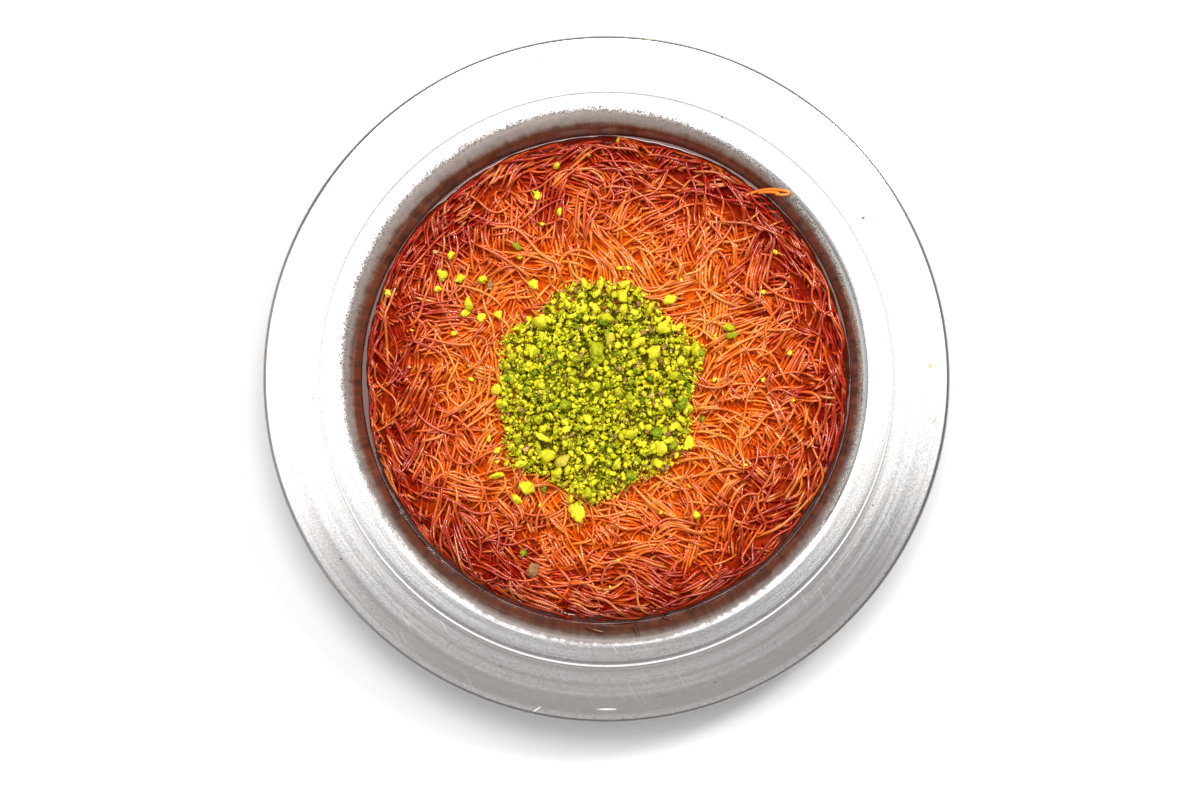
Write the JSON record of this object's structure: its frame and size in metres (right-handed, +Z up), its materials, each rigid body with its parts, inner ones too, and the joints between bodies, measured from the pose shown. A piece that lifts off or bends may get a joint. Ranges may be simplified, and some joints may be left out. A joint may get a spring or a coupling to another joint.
{
  "type": "kunafa",
  "caption": "Round of baked shredded pastry in syrup, in its wide-rimmed metal dish, topped with crushed pistachio.",
  "frame": {"origin": "centre of the dish's flat underside, on the surface it stands on", "axes": "+Z up out of the dish, -Y towards the lower edge of the picture, +X to its right"},
  "size_m": [0.214, 0.214, 0.0198],
  "materials": {
    "dish_metal": "spun, brushed in rings, worn and a little stained",
    "toasted_pastry": "toasted threads glossy with syrup",
    "dark_syrup": "clear dark amber syrup",
    "crushed_pistachio": "crumbly, yellow-green with darker green and a few purple skins"
  },
  "bodies": {
    "root": {"dish": "dish_metal", "kunafa": "toasted_pastry", "syrup": "dark_syrup", "pistachio": "crushed_pistachio"}
  },
  "joints": []
}
